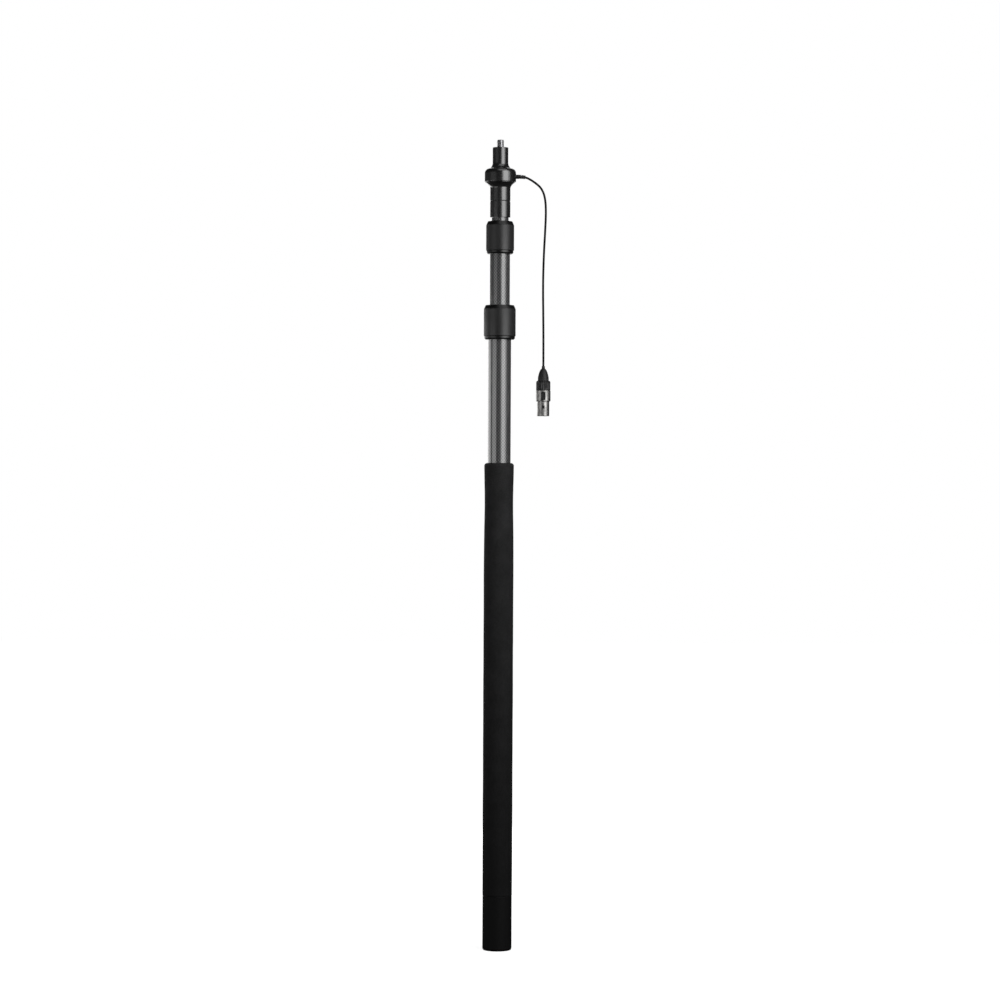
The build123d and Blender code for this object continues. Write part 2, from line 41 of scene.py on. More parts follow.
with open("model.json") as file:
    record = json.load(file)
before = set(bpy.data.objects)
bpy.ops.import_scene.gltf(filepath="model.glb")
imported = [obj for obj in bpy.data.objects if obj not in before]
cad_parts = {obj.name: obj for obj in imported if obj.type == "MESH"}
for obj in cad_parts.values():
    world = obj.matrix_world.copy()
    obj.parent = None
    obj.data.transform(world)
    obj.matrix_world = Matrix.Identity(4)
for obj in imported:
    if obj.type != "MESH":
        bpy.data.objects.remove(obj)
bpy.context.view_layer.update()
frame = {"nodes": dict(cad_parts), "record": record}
record = frame["record"]
BODY_OF = {node: body for body, nodes in record["behaviour"]["bodies"].items() for node in nodes}

MM = 0.001

# Camera

CAMERA_DISTANCE = 4.18
CAMERA_HEIGHT = 0.5856
CAMERA_SIDE = 0.0014
CAMERA_LENS = 115.6
CAMERA_SENSOR = 36.0
CAMERA_ROLL = 0.264

# Microphone cord: the route of the CAD tube

CORD_DIAMETER = 0.0028
CORD_HOLE_R = 1.5 * MM
CORD_ROUTE = [
    (0.0205, 0.0, 1.0064),
    (0.027, 0.0, 1.0064),
    (0.0345, -0.0002, 1.0054),
    (0.045, -0.0009, 0.999),
    (0.0535, -0.002, 0.9915),
    (0.0582, -0.003, 0.98),
    (0.0596, -0.0037, 0.962),
    (0.0586, -0.0039, 0.936),
    (0.0569, -0.0033, 0.905),
    (0.056, -0.0024, 0.866),
    (0.0566, -0.002, 0.826),
    (0.057, -0.002, 0.791),
    (0.057, -0.002, 0.76),
]

# Mesh detail

SEGMENTS = 128
SMALL_SEGMENTS = 64
ARC_STEPS = 6
CORNER_SHARE = 0.49
SHARP_ANGLE = 32
KEPT_SHARP_ANGLE = 30
KEPT_BEVEL_SEGMENTS = 3
WELD_DISTANCE = 1e-7
SLIVER_LENGTH = 1e-8

# Grip. ROUNDS here and below give the rounded corners of an outline by their number.

CAP_FLOOR = 3 * MM
CAP_ROUNDS = {0: 0.4 * MM, 1: 7.0 * MM, 2: 0.6 * MM}
FOAM_SEGMENTS = 96
FOAM_ROWS = 220
FOAM_ROUND = 3.9 * MM
FOAM_LIP = 0.7 * MM
FOAM_OUTSIDE = 17 * MM
WAIST_HEIGHT = 0.579
WAIST_SPREAD = 0.034
WAIST_DEPTH = 0.75 * MM
SLOW_WAVES = (23, 61)
SLOW_WAVE_DEPTH = 0.08 * MM
QUICK_WAVES = (190, 131)
QUICK_WAVE_DEPTH = 0.03 * MM

# Tubes and twist locks

TUBES = ("outer_tube", "middle_tube", "inner_tube")
TUBE_EDGE = 0.15 * MM
RIM_CHAMFER = 1.5 * MM
RIM_HEIGHT = 4.3 * MM
RIM_STEP = 2.1 * MM
RIM_TO_GROOVE = 1.2 * MM
GROOVE_DEPTH = 1.2 * MM
GROOVE_WIDTH = 2 * MM
SOCKET_DEPTH = 20 * MM
NUT_CLEARANCE = 0.15 * MM
NUT_CHAMFER = 2.2 * MM
NUT_STEP_HEIGHT = 22.3 * MM
NUT_CONE_HEIGHT = 24.9 * MM
NUT_CONE_INSET = 1.0 * MM
NUT_LIP_DEPTH = 1.6 * MM
NUT_LIP_STEP = 1.0 * MM
LOCK_SLEEVE_EDGES = (0.5 * MM, 0.45 * MM)
FERRULE_ROUNDS = {1: 0.3 * MM, 2: 0.5 * MM, 3: 0.25 * MM}
NUT_ROUNDS = {3: 0.35 * MM, 4: 0.6 * MM, 5: 0.3 * MM}

# Head

HEAD_SLEEVE_EDGES = (0.45 * MM, 0.4 * MM)
BARREL_ROUNDS = {3: 0.4 * MM}
RING_ROUNDS = {1: 0.9 * MM}
NECK_TOP_ROUND = 0.6 * MM
CURVE_STEPS = 16
COVE_DEPTH = 7.7 * MM
COVE_HEIGHT = 7.3 * MM
COVE_BEND = 1.8
CHAMBER_R = 13 * MM
SHOULDER_HEIGHT = 6.9 * MM
SHOULDER_BEND = 2.2
RING_BORE_R = 16 * MM
RING_ROOF = 1.9 * MM
NECK_SPIGOT_R = 9.5 * MM
NECK_R = 10.2 * MM
FLARE_HEIGHT = 7.5 * MM
FLARE_BEND = 2.2
SHANK_R = 4.0 * MM

# Microphone stud

STUD_ROWS = 120
THREAD_PITCH = 25.4 / 16 * MM
THREAD_DEPTH = 0.95 * MM
TOOTH_TOP = 1.25
TOOTH_SLOPE = 2.8
LEAD_IN_LENGTH = 1.2 * MM
LEAD_IN_SLOPE = 0.9

# Cord gland

GLAND_SPIGOT_R = 2.0 * MM
GLAND_SINK = 0.3 * MM
GLAND_GROOVE_SHARE = 0.86
GLAND_GROOVE_START = 2.2 * MM
GLAND_GROOVE_END = 1.2 * MM
GLAND_GROOVE_SLOPE = 0.3 * MM
GLAND_ROUNDS = {3: 0.2 * MM, 4: 0.2 * MM, 7: 0.2 * MM, 8: 0.25 * MM}
GLAND_TILT = 97
GLAND_BOOT_START = 0.35 * MM
GLAND_BOOT_LENGTH = 6.0 * MM
GLAND_BOOT_TAPER = 0.35 * MM
GLAND_BOOT_TIP_STEP = 0.4 * MM
GLAND_RINGS = 4
GLAND_RING_OFFSET = 0.8
GLAND_RING_DEPTH = 0.28 * MM
GLAND_RING_WIDTH = 0.55 * MM
GLAND_RING_FLOOR = (0.4 * MM, 0.1 * MM)

# Connector

BOOT_SEGMENTS = 96
BOOT_STEPS = 18
BOOT_TIP_R = 2.1 * MM
BOOT_TIP_SHARE = 0.16
BOOT_SWELL_SHARE = 0.69
BOOT_BEND = 1.5
BOOT_ROUNDS = {1: 0.3 * MM}
BOOT_RINGS_FROM = 1.5 * MM
BOOT_RINGS_TO = 15 * MM
BOOT_RINGS_OUTSIDE = 2.4 * MM
BOOT_RING_DEPTH = 0.22 * MM
BOOT_RING_RATE = 2.1 / MM
CHUCK_HOLE_R = 4.6 * MM
CHUCK_HOLE_START = 10 * MM
COLLAR_SEGMENTS = 288
COLLAR_ROWS = 12
COLLAR_FACE_STEP = 1.3 * MM
COLLAR_EDGE_STEP = 0.35 * MM
COLLAR_EDGE_HEIGHT = 1.0 * MM
COLLAR_SIDE_START = 1.5 * MM
COLLAR_SIDE_END = 0.7 * MM
COLLAR_BACK_STEP = 0.4 * MM
RIBS = 24
RIB_DEPTH = 0.45 * MM
RIB_SHARPNESS = 0.6
RIB_OUTSIDE = 8.5 * MM
RIB_END = 0.9 * MM
RIB_FADE = 1.0 * MM

# Coiled cable

COIL_WIRE_R = 1.8 * MM
COIL_TURN_R = 5.1 * MM
COIL_TURNS = 58
COIL_STEPS = 18
COIL_SIDES = 8
COIL_RAMP_TURNS = 1.5
TAIL_LENGTH = 15 * MM
TAIL_R = 1.4 * MM
TAIL_STEPS = 12
TAIL_SIDES = 12

# CAD nodes that keep their meshes: node, finish and the width of the softened edges

KEPT_IN_CONNECTOR = [
    ("connector_shell", "nickel", 0),
    ("connector_insert", "connector_black", 0),
    ("connector_contacts", "plated_contacts", 0),
    ("connector_chuck", "acetal", 0),
    ("connector_wires", "cord_jacket", 0),
    ("connector_latch", "black_metal", 0.25 * MM),
]
KEPT_IN_POLE = [
    ("lower_lock_collet", "acetal", 0),
    ("lower_lock_o_ring", "seal_rubber", 0),
    ("upper_lock_collet", "acetal", 0),
    ("upper_lock_o_ring", "seal_rubber", 0),
    ("head_seal", "seal_rubber", 0),
    ("head_lead", "cord_jacket", 0),
    ("cable_anchor", "acetal", 0),
    ("middle_guide_bush", "acetal", 0),
    ("middle_stop_rings", "acetal", 0),
    ("inner_guide_bush", "acetal", 0),
    ("inner_stop_rings", "acetal", 0),
    ("base_plug", "black_anodised", 0),
    ("base_grommet", "seal_rubber", 0),
    ("base_lead", "cord_jacket", 0),
    ("output_shell", "nickel", 0.2 * MM),
    ("output_insert", "connector_black", 0),
    ("output_pins", "plated_contacts", 0),
    ("output_screws", "black_metal", 0.08 * MM),
]

# Woven carbon and its clear coat; the pale and dark tow colours are painted sheen and painted shade on one
# carbon

TOW_WIDTH = 1.95 * MM
TOW_LENGTH = 2.1 * MM
TOW_WANDER = 0.5
FILAMENTS = 10.0
WARP_SHEEN_COLOUR = (0.125, 0.125, 0.128)
WEFT_SHADE_COLOUR = (0.013, 0.013, 0.0135)
GAP_COLOUR = (0.008, 0.008, 0.0085)
WEAVE_RELIEF = 0.09 * MM
COAT_RELIEF = 0.01 * MM
COAT = {"Coat_Weight": 1.0, "Coat_IOR": 1.75}

# Foam, its colour between two heights in the fade, with painted shade that darkens it towards the bottom

FOAM_COLOUR = (0.008, 0.008, 0.0083)
FOAM_DARK = (0.0025, 0.0025, 0.0026)
FOAM_PALE = (0.04, 0.04, 0.041)
FOAM_SHADE_HEIGHTS = (0.1, 0.6)
FOAM_LOW_SHADE = 0.24
FOAM_RELIEF = 0.25 * MM

# Wear and tool marks

EDGE_POINTINESS = 0.52
WEAR_GAIN = 1.5
WEAR_LIFT = 0.006
METAL_WEAR_GAIN = 1.6
METAL_WEAR_LIFT = 0.01
TARNISH = 0.72
TOOL_RINGS = 9000.0
TOOL_RELIEF = 0.004 * MM
SCRATCH_SCALE = (900.0, 900.0, 9000.0)
SCRATCH_RELIEF = 0.006 * MM

# The other finishes, named as the record's material slots are

MOULDED = {
    "cap_rubber": dict(colour=(0.006, 0.006, 0.0062), roughness=0.62, Specular_IOR_Level=0.16),
    "soft_touch": dict(
        colour=(0.023, 0.023, 0.0233), roughness=0.4, grain=2600.0, depth=0.02 * MM, Specular_IOR_Level=0.42
    ),
    "seal_rubber": dict(colour=(0.005, 0.005, 0.005), roughness=0.6),
    "acetal": dict(colour=(0.72, 0.71, 0.68), roughness=0.4),
    "connector_black": dict(colour=(0.008, 0.008, 0.0082), roughness=0.42),
    "boot_rubber": dict(colour=(0.008, 0.008, 0.0082), roughness=0.55),
    "cord_jacket": dict(colour=(0.003, 0.003, 0.003), roughness=0.6, grain=3500.0, Specular_IOR_Level=0.15),
}
TURNED = {
    "black_anodised": dict(colour=(0.004, 0.004, 0.0042), roughness=0.32),
    "black_gloss": dict(colour=(0.004, 0.004, 0.0042), roughness=0.4, Coat_Roughness=0.16, **COAT),
    "black_metal": dict(colour=(0.006, 0.006, 0.0063), roughness=0.36),
}
PLATED = {
    "nickel": dict(colour=(0.34, 0.336, 0.328), roughness=0.36),
    "plated_contacts": dict(colour=(0.83, 0.62, 0.3), roughness=0.25),
    "stud_steel": dict(colour=(0.55, 0.55, 0.56), roughness=0.3),
}

# Stage: each soft box's name, azimuth, distance, height, size, radiance and downward tilt

FLOOR_HALF = 9.0
SURROUND_LIGHT = (0.03, 0.03, 0.03, 1.0)
WHITE = (1.0, 1.0, 1.0, 1.0)
LIGHTS = [
    ("key", 40.0, 1.5, 1.35, (0.95, 1.65), 1.95, 0.0),
    ("key_edge", 44.0, 1.54, 1.35, (1.75, 1.75), 1.65, 0.0),
    ("fill", -54.0, 1.8, 0.64, (1.5, 0.52), 1.85, 0.0),
    ("fill_top", -54.0, 1.8, 0.97, (1.5, 0.2), 0.62, 0.0),
    ("weak_fill", -54.0, 1.85, 1.45, (1.5, 0.7), 0.07, 0.0),
    ("kicker", -126.0, 1.5, 0.68, (2.0, 0.42), 2.0, 0.0),
    ("back", 180.0, 1.6, 1.4, (1.0, 2.6), 1.3, 0.0),
    ("overhead", 25.0, 0.9, 2.6, (1.6, 1.2), 0.9, 60.0),
]


# Camera and cord


def make_camera():
    """A level camera in front of the pole, turned a little about its own axis."""
    data = bpy.data.cameras.new("camera")
    data.lens = CAMERA_LENS
    data.sensor_width = CAMERA_SENSOR
    camera = bpy.data.objects.new("camera", data)
    camera.location = (CAMERA_SIDE, -CAMERA_DISTANCE, CAMERA_HEIGHT)
    level = Matrix.Rotation(math.radians(90), 4, "X")
    roll = Matrix.Rotation(math.radians(CAMERA_ROLL), 4, "Z")
    camera.rotation_euler = (level @ roll).to_euler()
    bpy.context.scene.collection.objects.link(camera)
    bpy.context.scene.camera = camera


def make_cord():
    """The free cord as one smooth curve."""
    data = bpy.data.curves.new("mic_cord_line", "CURVE")
    data.dimensions = "3D"
    data.resolution_u = 16
    data.bevel_depth = CORD_DIAMETER / 2
    data.bevel_resolution = 6
    data.use_fill_caps = True
    spline = data.splines.new("NURBS")
    spline.points.add(len(CORD_ROUTE) - 1)
    for point, place in zip(spline.points, CORD_ROUTE):
        point.co = (*place, 1.0)
    spline.order_u = 3
    spline.use_endpoint_u = True
    cord = bpy.data.objects.new("mic_cord_line", data)
    bpy.context.scene.collection.objects.link(cord)
    return cord


# Measures of the frame


def turned_size(node):
    """(lowest z, highest z, smallest radius, largest radius) of a CAD node about the pole's axis."""
    points = [vertex.co for vertex in frame["nodes"][node].data.vertices]
    radii = [math.hypot(p.x, p.y) for p in points]
    heights = [p.z for p in points]
    return min(heights), max(heights), min(radii), max(radii)


# Mesh making


def rounded(outline, rounds):
    """A closed outline of (radius, height) points with arcs at the corners that rounds names by number."""
    made = []
    count = len(outline)
    for number, corner in enumerate(outline):
        size = rounds.get(number, 0)
        if not size:
            made.append(tuple(corner))
            continue
        corner = Vector(corner)
        before = Vector(outline[number - 1]) - corner
        after = Vector(outline[(number + 1) % count]) - corner
        half = before.angle(after) / 2
        room = min(before.length, after.length) * CORNER_SHARE
        reach = min(size / math.tan(half), room)
        start = corner + before.normalized() * reach
        end = corner + after.normalized() * reach
        for step in range(ARC_STEPS + 1):
            t = step / ARC_STEPS
            made.append(tuple((1 - t) ** 2 * start + 2 * t * (1 - t) * corner + t * t * end))
    return made


def new_piece(name, vertices, faces):
    """A mesh object with smooth faces and sharp creases, its normals weighted by face area."""
    mesh = bpy.data.meshes.new(name)
    mesh.from_pydata(vertices, [], faces)
    editor = bmesh.new()
    editor.from_mesh(mesh)
    bmesh.ops.remove_doubles(editor, verts=editor.verts, dist=WELD_DISTANCE)
    bmesh.ops.dissolve_degenerate(editor, dist=SLIVER_LENGTH, edges=editor.edges)
    bmesh.ops.recalc_face_normals(editor, faces=editor.faces)
    editor.to_mesh(mesh)
    editor.free()
    mesh.shade_smooth()
    mesh.set_sharp_from_angle(angle=math.radians(SHARP_ANGLE))
    piece = bpy.data.objects.new(name, mesh)
    bpy.context.scene.collection.objects.link(piece)
    weighted = piece.modifiers.new("weighted_normals", "WEIGHTED_NORMAL")
    weighted.keep_sharp = True
    return piece


def lathe(name, outline, place=None, segments=SEGMENTS, ripple=None):
    """A closed turned solid. ripple(angle, radius, height) adds to the radius."""
    place = place or Matrix.Identity(4)
    vertices = []
    for turn in range(segments):
        angle = 2 * math.pi * turn / segments
        for radius, height in outline:
            reach = radius + (ripple(angle, radius, height) if ripple else 0)
            vertices.append(place @ Vector((reach * math.cos(angle), reach * math.sin(angle), height)))
    count = len(outline)
    faces = []
    for turn in range(segments):
        here = turn * count
        there = (turn + 1) % segments * count
        for row in range(count):
            up = (row + 1) % count
            faces.append((here + row, there + row, there + up, here + up))
    return new_piece(name, vertices, faces)


def skin(rings, sides):
    """The faces of a closed tube over a row of vertex rings, with flat ends."""
    faces = []
    for ring in range(rings - 1):
        for turn in range(sides):
            nxt = (turn + 1) % sides
            low, high = ring * sides, (ring + 1) * sides
            faces.append((low + turn, low + nxt, high + nxt, high + turn))
    faces.append(tuple(reversed(range(sides))))
    last = (rings - 1) * sides
    faces.append(tuple(range(last, last + sides)))
    return faces


def swept(name, line, radius, sides):
    """A round tube along a list of points, with flat ends."""
    vertices = []
    side = Vector((0, 1, 0))
    for number, point in enumerate(line):
        ahead = line[min(number + 1, len(line) - 1)] - line[max(number - 1, 0)]
        ahead.normalize()
        side = (side - ahead * side.dot(ahead)).normalized()
        up = ahead.cross(side)
        for turn in range(sides):
            angle = 2 * math.pi * turn / sides
            vertices.append(point + radius * (math.cos(angle) * side + math.sin(angle) * up))
    return new_piece(name, vertices, skin(len(line), sides))


def eased(t):
    """0 to 1, level at both ends."""
    return t * t * (3 - 2 * t)


# Finishes and places

MATERIALS = {}


def paint(piece, material):
    """Give a piece one material."""
    piece.data.materials.clear()
    piece.data.materials.append(material)


def stand_for(piece, node, finish):
    """The piece takes a CAD node's place, body and slot."""
    paint(piece, MATERIALS[finish])
    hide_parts(node)
    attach(piece, BODY_OF[node])
    return piece


def turned(node, finish, outline, rounds, **details):
    """A turned piece in a CAD node's place, its outline's corners rounded."""
    piece = lathe(node + "_fine", rounded(outline, rounds), **details)
    return stand_for(piece, node, finish)


def turned_sleeve(node, finish, low_round, high_round):
    """A plain tube in a CAD node's place, with rounded outer edges."""
    low, high, bore, reach = turned_size(node)
    outline = [(bore, low), (reach, low), (reach, high), (bore, high)]
    turned(node, finish, outline, {1: low_round, 2: high_round})


def keep(node, finish, bevel):
    """A CAD node that stays, with a finished material and, if asked, softened edges."""
    piece = frame["nodes"][node]
    paint(piece, MATERIALS[finish])
    piece.data.shade_smooth()
    piece.data.set_sharp_from_angle(angle=math.radians(KEPT_SHARP_ANGLE))
    if bevel:
        edge = piece.modifiers.new("edge", "BEVEL")
        edge.width = bevel
        edge.segments = KEPT_BEVEL_SEGMENTS
        edge.limit_method = "ANGLE"


# Materials


class Shader:
    """A material being made: a Principled surface and the nodes that feed it."""

    def __init__(self, name, colour, roughness, sockets):
        self.material = bpy.data.materials.new(name)
        self.material.use_nodes = True
        self.tree = self.material.node_tree
        self.surface = self.tree.nodes["Principled BSDF"]
        self.feed(self.surface, "Base Color", (*colour, 1.0))
        self.feed(self.surface, "Roughness", roughness)
        self.finish(**sockets)

    def feed(self, node, socket, value):
        """Set a socket to a value, or link another node's output to it."""
        if isinstance(value, bpy.types.NodeSocket):
            self.tree.links.new(value, node.inputs[socket])
        else:
            node.inputs[socket].default_value = value

    def add(self, kind, inputs=(), **settings):
        """A new node with its settings and inputs, which are (socket, value) pairs."""
        node = self.tree.nodes.new("ShaderNode" + kind)
        for setting, value in settings.items():
            setattr(node, setting, value)
        for socket, value in inputs:
            self.feed(node, socket, value)
        return node

    def math(self, operation, *values):
        """The result of a Math node."""
        return self.add("Math", enumerate(values), operation=operation).outputs[0]

    def place(self):
        """The point being shaded, in the piece's own metres."""
        return self.add("TexCoord").outputs["Object"]

    def parts(self):
        """The x, y and z of the point being shaded."""
        return self.add("SeparateXYZ", [(0, self.place())]).outputs[:3]

    def noise(self, scale, detail=2.0, vector=None):
        """Smooth noise from 0 to 1, with scale in waves to the metre."""
        inputs = [("Vector", vector or self.place()), ("Scale", scale), ("Detail", detail)]
        return self.add("TexNoise", inputs).outputs[0]

    def span(self, value, low, high, new_low, new_high):
        """A value moved from one range to another, and held in it."""
        inputs = enumerate((value, low, high, new_low, new_high))
        return self.add("MapRange", inputs).outputs[0]

    def mix(self, share, first, second):
        """A mix of two colours."""
        node = self.add("Mix", data_type="RGBA")
        self.feed(node, 0, share)
        self.feed(node, 6, (*first, 1.0) if isinstance(first, tuple) else first)
        self.feed(node, 7, (*second, 1.0) if isinstance(second, tuple) else second)
        return node.outputs[2]

    def bump(self, height, depth, strength):
        """A surface normal from a height of 0 to 1 and the depth that 1 stands for, in metres."""
        inputs = [("Height", height), ("Distance", depth), ("Strength", strength)]
        return self.add("Bump", inputs).outputs[0]

    def edges(self, high, most):
        """0 on flats and up to most along outer edges."""
        edge = self.add("NewGeometry").outputs["Pointiness"]
        return self.span(edge, EDGE_POINTINESS, high, 0.0, most)

    def finish(self, **sockets):
        """Feed the surface and return the material."""
        for socket, value in sockets.items():
            self.feed(self.surface, socket.replace("_", " "), value)
        return self.material


def paler(colour, gain, lift):
    """A colour made paler, for a worn edge."""
    return tuple(min(1.0, part * gain + lift) for part in colour)


def carbon(name, radius):
    """Plain-woven carbon, its tows along and round the tube, under a clear coat. Alternate tows are painted
    paler and darker, a painted sheen and painted shade for how the fibres catch the light.
    """
    s = Shader(name, WARP_SHEEN_COLOUR, 0.4, {"Coat_Roughness": 0.15, **COAT})
    x, y, z = s.parts()
    cells = 2 * round(math.pi * radius / TOW_WIDTH)
    wander = s.math("MULTIPLY_ADD", s.noise(60.0, 1.0), TOW_WANDER, -TOW_WANDER / 2)
    turn = s.math("MULTIPLY", s.math("ARCTAN2", y, x), cells / (2 * math.pi))
    rise = s.math("MULTIPLY_ADD", z, 1 / TOW_LENGTH, wander)
    parity = s.math("PINGPONG", s.math("ADD", s.math("FLOOR", turn), s.math("FLOOR", rise)), 1.0)
    heights = []
    threads = []
    for across, lengthwise in ((turn, rise), (rise, turn)):
        crown = s.math("SINE", s.math("MULTIPLY", s.math("FRACT", across), math.pi))
        wave = s.math("SINE", s.math("MULTIPLY", s.math("FRACT", lengthwise), math.pi))
        swell = s.math("MULTIPLY_ADD", wave, 0.4, 0.6)
        heights.append(s.math("MULTIPLY", s.math("POWER", crown, 0.6), swell))
        threads.append(s.math("SINE", s.math("MULTIPLY", across, 2 * math.pi * FILAMENTS)))
    height = s.span(parity, 0.0, 1.0, *heights)
    thread = s.span(parity, 0.0, 1.0, *threads)
    grain = s.noise(700.0, 3.0)
    # Painted sheen and shade: the cells of the weave alternate between a pale and a dark copy of the same
    # carbon's colour.
    share = s.math("MULTIPLY_ADD", thread, 0.1, s.math("MULTIPLY_ADD", grain, 0.5, parity))
    colour = s.mix(s.span(share, 0.1, 1.4, 0.0, 1.0), WARP_SHEEN_COLOUR, WEFT_SHADE_COLOUR)
    colour = s.mix(s.span(height, 0.1, 0.55, 0.0, 1.0), GAP_COLOUR, colour)
    relief = s.math("MULTIPLY_ADD", thread, 0.06, height)
    smooth = s.bump(height, COAT_RELIEF, 0.4)
    return s.finish(Base_Color=colour, Normal=s.bump(relief, WEAVE_RELIEF, 0.7), Coat_Normal=smooth)


def grip_foam():
    """Fine closed-cell foam, matt, with shallow pores and handling marks, and painted shade that darkens it
    towards the bottom.
    """
    s = Shader("grip_foam", FOAM_COLOUR, 0.8, {"Specular_IOR_Level": 0.2})
    cells = s.add("TexVoronoi", [("Vector", s.place()), ("Scale", 1500.0)]).outputs[0]
    broad = s.noise(45.0, 4.0)
    fine = s.noise(2600.0, 2.0)
    pores = s.span(cells, 0.1, 0.75, 0.0, 1.0)
    marks = s.math("MULTIPLY_ADD", broad, 0.7, s.math("MULTIPLY", fine, 0.45))
    tone = s.math("MULTIPLY_ADD", pores, -0.45, marks)
    _, _, z = s.parts()
    # Painted shade: the colour is darkened towards the bottom of the grip, where less light falls.
    painted_shade = s.span(z, *FOAM_SHADE_HEIGHTS, FOAM_LOW_SHADE, 1.0)
    tone_and_shade = s.math("MULTIPLY", painted_shade, s.span(tone, 0.0, 0.8, 0.2, 1.0))
    relief = s.math("MULTIPLY_ADD", pores, -0.7, s.math("MULTIPLY", fine, 0.5))
    return s.finish(Base_Color=s.mix(tone_and_shade, FOAM_DARK, FOAM_PALE), Normal=s.bump(relief, FOAM_RELIEF, 0.7))


def moulded(name, colour, roughness, grain=2200.0, depth=0.05 * MM, **sockets):
    """Moulded plastic or rubber: fine grain, uneven gloss and slightly paler edges."""
    s = Shader(name, colour, roughness, sockets)
    texture = s.noise(grain, 3.0)
    smudge = s.noise(38.0, 3.0)
    wear = s.math("MULTIPLY", s.edges(0.6, 1.0), s.span(smudge, 0.35, 0.7, 0.2, 1.0))
    return s.finish(
        Base_Color=s.mix(wear, colour, paler(colour, WEAR_GAIN, WEAR_LIFT)),
        Roughness=s.span(smudge, 0.3, 0.7, roughness * 0.9, roughness * 1.12),
        Normal=s.bump(texture, depth, 0.5),
    )


def turned_metal(name, colour, roughness, **sockets):
    """Turned and finished metal: faint tool rings about the pole's axis and uneven gloss."""
    s = Shader(name, colour, roughness, sockets)
    _, _, z = s.parts()
    along = s.add("CombineXYZ", [(2, s.math("MULTIPLY", z, TOOL_RINGS))]).outputs[0]
    rings = s.noise(1.0, 2.0, along)
    smudge = s.noise(30.0, 3.0)
    return s.finish(
        Base_Color=s.mix(s.edges(0.62, 0.7), colour, paler(colour, METAL_WEAR_GAIN, METAL_WEAR_LIFT)),
        Roughness=s.span(smudge, 0.3, 0.7, roughness * 0.82, roughness * 1.2),
        Normal=s.bump(rings, TOOL_RELIEF, 0.35),
    )


def plated(name, colour, roughness):
    """Bright plating with fine brushed scratches and duller patches."""
    s = Shader(name, colour, roughness, {"Metallic": 1.0})
    stretched = s.add("VectorMath", [(0, s.place()), (1, SCRATCH_SCALE)], operation="MULTIPLY").outputs[0]
    scratches = s.noise(1.0, 4.0, stretched)
    tarnish = s.noise(160.0, 3.0)
    dull = tuple(part * TARNISH for part in colour)
    return s.finish(
        Base_Color=s.mix(s.span(tarnish, 0.45, 0.75, 0.0, 0.7), colour, dull),
        Roughness=s.span(tarnish, 0.3, 0.7, roughness * 0.8, roughness * 1.4),
        Normal=s.bump(scratches, SCRATCH_RELIEF, 0.4),
    )


def make_materials():
    """Every finish of the pole. Each carbon tube has its own, because its tows go round its own radius."""
    for node in TUBES:
        MATERIALS[node] = carbon(node + "_carbon", turned_size(node)[3])
    MATERIALS["grip_foam"] = grip_foam()
    for make, finishes in ((moulded, MOULDED), (turned_metal, TURNED), (plated, PLATED)):
        for name, look in finishes.items():
            MATERIALS[name] = make(name, **look)


# Pieces


def base_cap():
    """The rubber cap, round at the foot, with a hole for the output socket's plug."""
    low, high, bore, reach = turned_size("base_cap")
    tube_reach = turned_size("outer_tube")[3]
    outline = [
        (bore, low),
        (reach, low),
        (reach, high),
        (tube_reach, high),
        (tube_reach, CAP_FLOOR),
        (bore, CAP_FLOOR),
    ]
    turned("base_cap", "cap_rubber", outline, CAP_ROUNDS)


def foam_ripple(angle, radius, height):
    """The worn waist near the top of the foam, and the unevenness of a sleeve stretched over a tube."""
    if radius < FOAM_OUTSIDE:
        return 0
    waist = math.exp(-(((height - WAIST_HEIGHT) / WAIST_SPREAD) ** 2))
    first, second = (rate * height for rate in SLOW_WAVES)
    slow = math.sin(first + 1.3 * math.sin(angle)) * math.sin(second + 2 * angle)
    first, second = (rate * height for rate in QUICK_WAVES)
    quick = math.sin(first + 3 * angle) * math.sin(second - 2 * angle)
    return SLOW_WAVE_DEPTH * slow + QUICK_WAVE_DEPTH * quick - WAIST_DEPTH * waist


def foam_grip():
    """The foam sleeve, with a thin lip at the bottom and a rounded top."""
    low, high, bore, reach = turned_size("foam_grip")
    bottom = low + FOAM_LIP
    top = high - FOAM_ROUND
    outline = [(bore, low), (reach - FOAM_LIP, low), (reach, bottom)]
    for row in range(1, FOAM_ROWS + 1):
        outline.append((reach, bottom + (top - bottom) * row / FOAM_ROWS))
    steps = ARC_STEPS * 2
    for step in range(1, steps + 1):
        angle = math.pi / 2 * step / steps
        outline.append((reach - FOAM_ROUND * (1 - math.cos(angle)), top + FOAM_ROUND * math.sin(angle)))
    outline.append((bore, high))
    foam = turned("foam_grip", "grip_foam", outline, {}, segments=FOAM_SEGMENTS, ripple=foam_ripple)


